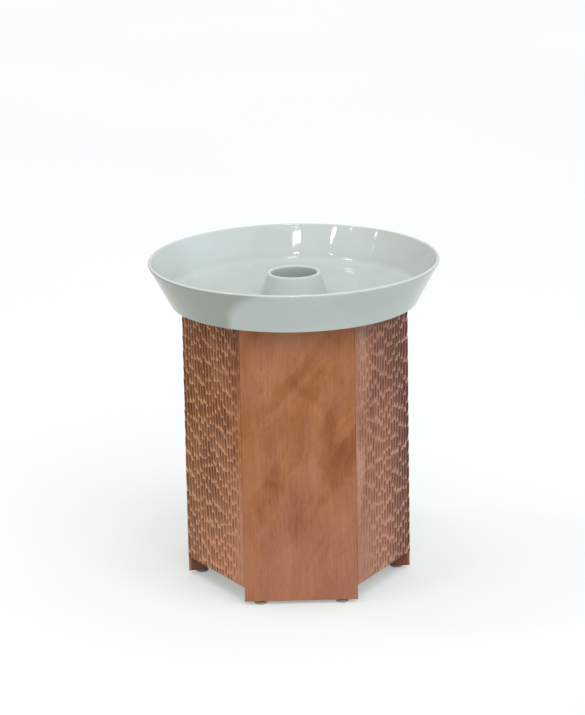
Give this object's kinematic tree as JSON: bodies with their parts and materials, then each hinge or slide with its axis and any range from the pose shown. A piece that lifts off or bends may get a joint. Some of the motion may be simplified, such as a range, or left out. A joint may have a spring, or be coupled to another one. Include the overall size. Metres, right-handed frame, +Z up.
{
  "type": "baptismal font",
  "caption": "Baptismal font: a wide glazed ceramic bowl with a central candle socket, loose on a hexagonal wooden pedestal of smooth leg panels and carved panels.",
  "frame": {"origin": "on the floor, under the centre of the bowl and pedestal", "axes": "+Z up, the front leg panel towards -Y, its viewer's right towards +X"},
  "size_m": [0.644, 0.644, 0.7305],
  "materials": {
    "glaze": "gloss",
    "leg_wood": "satin",
    "carved_wood": "satin",
    "plywood": "matte",
    "spline_wood": "matte",
    "cleat_wood": "matte",
    "pad_rubber": "matte",
    "insert_brass": "satin",
    "stem_steel": "satin",
    "foot_plastic": "satin",
    "screw_steel": "satin"
  },
  "bodies": {
    "pedestal": {"top_board": "plywood", "bottom_board": "plywood", "front_leg_panel": "leg_wood", "right_carved_panel": "carved_wood", "right_leg_panel": "leg_wood", "rear_carved_panel": "carved_wood", "left_leg_panel": "leg_wood", "left_carved_panel": "carved_wood", "corner_spline_1": "spline_wood", "corner_spline_2": "spline_wood", "corner_spline_3": "spline_wood", "corner_spline_4": "spline_wood", "corner_spline_5": "spline_wood", "corner_spline_6": "spline_wood", "upper_cleat_1": "cleat_wood", "upper_cleat_2": "cleat_wood", "upper_cleat_3": "cleat_wood", "upper_cleat_4": "cleat_wood", "upper_cleat_5": "cleat_wood", "upper_cleat_6": "cleat_wood", "lower_cleat_1": "cleat_wood", "lower_cleat_2": "cleat_wood", "lower_cleat_3": "cleat_wood", "lower_cleat_4": "cleat_wood", "lower_cleat_5": "cleat_wood", "lower_cleat_6": "cleat_wood", "rest_pad_1": "pad_rubber", "rest_pad_2": "pad_rubber", "rest_pad_3": "pad_rubber", "rest_pad_4": "pad_rubber", "rest_pad_5": "pad_rubber", "rest_pad_6": "pad_rubber", "threaded_insert_1": "insert_brass", "threaded_insert_2": "insert_brass", "threaded_insert_3": "insert_brass", "threaded_insert_4": "insert_brass", "threaded_insert_5": "insert_brass", "threaded_insert_6": "insert_brass", "cleat_screws": "screw_steel", "board_screws": "screw_steel"},
    "bowl": {"bowl": "glaze"},
    "foot_1": {"foot_pad_1": "foot_plastic"},
    "stem_1": {"foot_stem_1": "stem_steel"},
    "foot_2": {"foot_pad_2": "foot_plastic"},
    "stem_2": {"foot_stem_2": "stem_steel"},
    "foot_3": {"foot_pad_3": "foot_plastic"},
    "stem_3": {"foot_stem_3": "stem_steel"},
    "foot_4": {"foot_pad_4": "foot_plastic"},
    "stem_4": {"foot_stem_4": "stem_steel"},
    "foot_5": {"foot_pad_5": "foot_plastic"},
    "stem_5": {"foot_stem_5": "stem_steel"},
    "foot_6": {"foot_pad_6": "foot_plastic"},
    "stem_6": {"foot_stem_6": "stem_steel"}
  },
  "joints": [
    {"name": "bowl_lift", "type": "slide", "parent": "pedestal", "child": "bowl", "axis": [0, 0, 1], "range_m": [0, 0.15]},
    {"name": "foot_1_height", "type": "slide", "parent": "pedestal", "child": "foot_1", "axis": [0, 0, -1], "range_m": [-0.0025, 0.012]},
    {"name": "stem_1_turn", "type": "hinge", "parent": "foot_1", "child": "stem_1", "pos_m": [-0.09, -0.20151, 0.02], "axis": [0, 0, -1], "range_deg": [-725, 3460]},
    {"name": "foot_2_height", "type": "slide", "parent": "pedestal", "child": "foot_2", "axis": [0, 0, -1], "range_m": [-0.0025, 0.012]},
    {"name": "stem_2_turn", "type": "hinge", "parent": "foot_2", "child": "stem_2", "pos_m": [0.09, -0.20151, 0.02], "axis": [0, 0, -1], "range_deg": [-725, 3460]},
    {"name": "foot_3_height", "type": "slide", "parent": "pedestal", "child": "foot_3", "axis": [0, 0, -1], "range_m": [-0.0025, 0.012]},
    {"name": "stem_3_turn", "type": "hinge", "parent": "foot_3", "child": "stem_3", "pos_m": [0.21951, 0.02281, 0.02], "axis": [0, 0, -1], "range_deg": [-725, 3460]},
    {"name": "foot_4_height", "type": "slide", "parent": "pedestal", "child": "foot_4", "axis": [0, 0, -1], "range_m": [-0.0025, 0.012]},
    {"name": "stem_4_turn", "type": "hinge", "parent": "foot_4", "child": "stem_4", "pos_m": [0.12951, 0.17869, 0.02], "axis": [0, 0, -1], "range_deg": [-725, 3460]},
    {"name": "foot_5_height", "type": "slide", "parent": "pedestal", "child": "foot_5", "axis": [0, 0, -1], "range_m": [-0.0025, 0.012]},
    {"name": "stem_5_turn", "type": "hinge", "parent": "foot_5", "child": "stem_5", "pos_m": [-0.12951, 0.17869, 0.02], "axis": [0, 0, -1], "range_deg": [-725, 3460]},
    {"name": "foot_6_height", "type": "slide", "parent": "pedestal", "child": "foot_6", "axis": [0, 0, -1], "range_m": [-0.0025, 0.012]},
    {"name": "stem_6_turn", "type": "hinge", "parent": "foot_6", "child": "stem_6", "pos_m": [-0.21951, 0.02281, 0.02], "axis": [0, 0, -1], "range_deg": [-725, 3460]}
  ],
  "couplings": [
    {"joint": "stem_1_turn", "follows": "foot_1_height", "rad_per_m": 5026.5},
    {"joint": "stem_2_turn", "follows": "foot_2_height", "rad_per_m": 5026.5},
    {"joint": "stem_3_turn", "follows": "foot_3_height", "rad_per_m": 5026.5},
    {"joint": "stem_4_turn", "follows": "foot_4_height", "rad_per_m": 5026.5},
    {"joint": "stem_5_turn", "follows": "foot_5_height", "rad_per_m": 5026.5},
    {"joint": "stem_6_turn", "follows": "foot_6_height", "rad_per_m": 5026.5}
  ]
}
